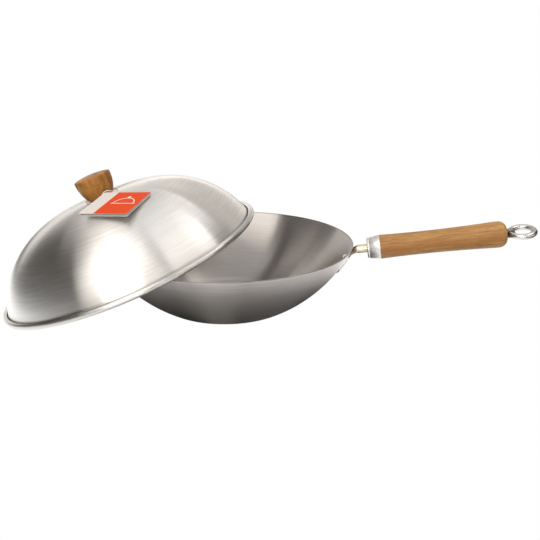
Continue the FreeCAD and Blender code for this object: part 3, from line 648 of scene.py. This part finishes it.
def makeFerrule(s):
    slope = (s["backRadius"] - s["frontRadius"]) / (s["end"] - s["start"])
    bm = bmesh.new()
    first = startVert(bm, s["hole"], s["start"])
    vert = lineTo(bm, first, s["frontRadius"], s["start"])
    for shift, depth in grooveShape:
        level = s["grooveAt"] + shift * s["grooveWidth"]
        vert = lineTo(bm, vert, s["frontRadius"] + slope * (level - s["start"]) - depth * s["grooveDepth"], level)
    vert = lineTo(bm, vert, s["backRadius"], s["end"])
    vert = lineTo(bm, vert, s["backRadius"] - s["sheet"], s["end"])
    vert = lineTo(bm, vert, s["frontRadius"] + slope * s["sheet"] - s["sheet"], s["start"] + s["sheet"])
    vert = lineTo(bm, vert, s["hole"], s["start"] + s["sheet"])
    bm.edges.new((vert, first))
    turnRound(bm, s["steps"])
    for radius, level, size, segments in ((s["frontRadius"], s["start"], s["lipRound"], s["lipSteps"]),
                                          (s["backRadius"], s["end"], s["edgeRound"], s["edgeSteps"])):
        edge = [e for e in bm.edges
                if all(abs(v.co.z - level) < hair and abs(v.co.xy.length - radius) < near for v in e.verts)]
        roundOff(bm, edge, size, segments)
    mapAround(bm)
    return finishPiece(bm, "handleFerrule", ferruleFrame, ferrulePlate)


ferrule = makeFerrule(ferruleSizes)
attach(ferrule, "wok")
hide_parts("ferrule")

# hanging ring
ringSizes = {"at": 0.18875, "radius": 0.0129, "wire": 0.00335, "roll": 9.4, "wireSteps": 28, "steps": 96}


def makeRing(s):
    bm = bmesh.new()
    wire = Matrix.Translation((s["radius"], 0, 0)) @ rotation(90, "X")
    bmesh.ops.create_circle(bm, cap_ends=False, segments=s["wireSteps"], radius=s["wire"], matrix=wire)
    turnRound(bm, s["steps"])
    placed = handleFrame @ Matrix.Translation((s["at"], 0, 0)) @ rotation(s["roll"], "X")
    return finishPiece(bm, "hangingRing", placed, chromePlate)


hangingRing = makeRing(ringSizes)
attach(hangingRing, "ring")
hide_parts("hanging_ring")
print("ferrule and ring made")

# finishes on the solids that keep their shape
kept = {
    "handle_stem": stemPlate, "rivet_upper": rivetMetal, "rivet_lower": rivetMetal, "grip": gripWood,
    "stem_nut": screwSteel, "eye_bolt": eyeSteel, "eye_washer": eyeSteel, "knob": knobWood,
    "knob_insert": insertBrass, "knob_screw": screwSteel, "knob_seat_washer": screwSteel, "lid_washer": screwSteel,
    "tag_back_leaf": tagPaper, "tag_inner_leaf": tagPaper, "tag_front_leaf": tagPrint, "string_knot": stringFibre,
}
for node, material in kept.items():
    slots = nodes[node].data.materials
    if len(slots):
        slots[0] = material
    else:
        slots.append(material)
print("finishes set")

# floor: plain white to the eye; in the metal it glows as a painted bright band, with a painted shadow under the wok,
# centred a little towards the lid, and it fades out far away
floorLook = {"size": 6, "height": -0.0003, "shadeAt": (-0.012, 0, 0), "shadeEnd": 0.16, "brightStart": 0.215,
             "brightEnd": 0.36, "dimStart": 0.55, "bright": 1.5, "dim": 0.10, "shade": 0.02, "matteShare": 0.30}


def paintFloor(s):
    paint = bpy.data.materials.new("floorPaint")
    paint.use_nodes = True
    tree = paint.node_tree
    tree.nodes.remove(tree.nodes["Principled BSDF"])
    away = addNode(tree, "ShaderNodeVectorMath", operation="DISTANCE")
    put(tree, addNode(tree, "ShaderNodeTexCoord").outputs["Object"], away.inputs[0])
    put(tree, s["shadeAt"], away.inputs[1])
    # painted shadow under the wok, rising to a painted band of light
    rise = spread(tree, away.outputs["Value"], s["shadeEnd"], s["brightStart"], s["shade"], s["bright"], "SMOOTHSTEP")
    fall = spread(tree, away.outputs["Value"], s["brightEnd"], s["dimStart"], 1, s["dim"] / s["bright"], "SMOOTHSTEP")
    path = addNode(tree, "ShaderNodeLightPath").outputs
    glow = times(tree, times(tree, rise, fall), spread(tree, path["Is Diffuse Ray"], 0, 1, 1, s["matteShare"]))
    emission = addNode(tree, "ShaderNodeEmission")
    put(tree, mixColour(tree, path["Is Camera Ray"], joined(tree, glow, glow, glow), white), emission.inputs["Color"])
    put(tree, emission.outputs[0], tree.nodes["Material Output"].inputs["Surface"])
    return paint


def makeFloor(s):
    bm = bmesh.new()
    bmesh.ops.create_grid(bm, x_segments=1, y_segments=1, size=s["size"])
    bm.transform(Matrix.Translation((0, 0, s["height"])))
    mesh = bpy.data.meshes.new("floor")
    bm.to_mesh(mesh)
    bm.free()
    mesh.materials.append(paintFloor(s))
    piece = bpy.data.objects.new("floor", mesh)
    scene.collection.objects.link(piece)
    return piece


floor = makeFloor(floorLook)

# soft boxes round the wok: where each one stands, in degrees round it and above the floor, its width and height
# in metres, and how bright it is
lampReach, lampAim = 2.2, Vector((0.02, 0, 0.06))
warmLight = (1, 0.965, 0.92)
softBoxes = {
    "overhead": (60, 84, 2.4, 2.4, 1.12),
    "keyLeft": (245, 43, 1.7, 2.0, 2.8),
    "frontFill": (288, 30, 1.6, 1.5, 0.8),
    "frontHigh": (342, 53, 1.8, 0.7, 2.6),
    "lowFront": (272, 9, 1.4, 0.7, 4.0),
    "lowRight": (330, 8, 2.6, 0.6, 2.2),
    "sideHigh": (22, 57, 1.3, 0.6, 0.7),
    "backRight": (72, 34, 2.7, 1.9, 0.66),
    "backLeft": (126, 24, 1.6, 1.2, 0.78),
    "backCorner": (158, 42, 0.8, 0.9, 0.7),
    "backLow": (105, 5, 4.2, 0.6, 0.95),
}


def addLamp(name, around, above, width, height, brightness):
    data = bpy.data.lights.new(name, "AREA")
    data.shape = "RECTANGLE"
    data.size, data.size_y = width, height
    data.energy = math.pi * width * height * brightness
    if name != "overhead":
        data.color = warmLight
    lamp = bpy.data.objects.new(name, data)
    stand = rotation(around, "Z") @ rotation(-above, "Y") @ Matrix.Translation((lampReach, 0, 0))
    lamp.matrix_world = Matrix.Translation(lampAim) @ stand @ rotation(90, "Z") @ rotation(90, "X")
    lamp.visible_camera = False
    scene.collection.objects.link(lamp)


for name, setting in softBoxes.items():
    addLamp(name, *setting)

# the room: dim and a little warm in the metal, white to the eye
roomLook = {"dim": (0.08, 0.073, 0.067, 1)}


def makeRoom(s):
    world = bpy.data.worlds.new("studio")
    scene.world = world
    world.use_nodes = True
    tree = world.node_tree
    toEye = addNode(tree, "ShaderNodeLightPath").outputs["Is Camera Ray"]
    put(tree, mixColour(tree, toEye, s["dim"], white), tree.nodes["Background"].inputs["Color"])


makeRoom(roomLook)
scene.view_settings.view_transform = "Standard"
print("floor and lights set")
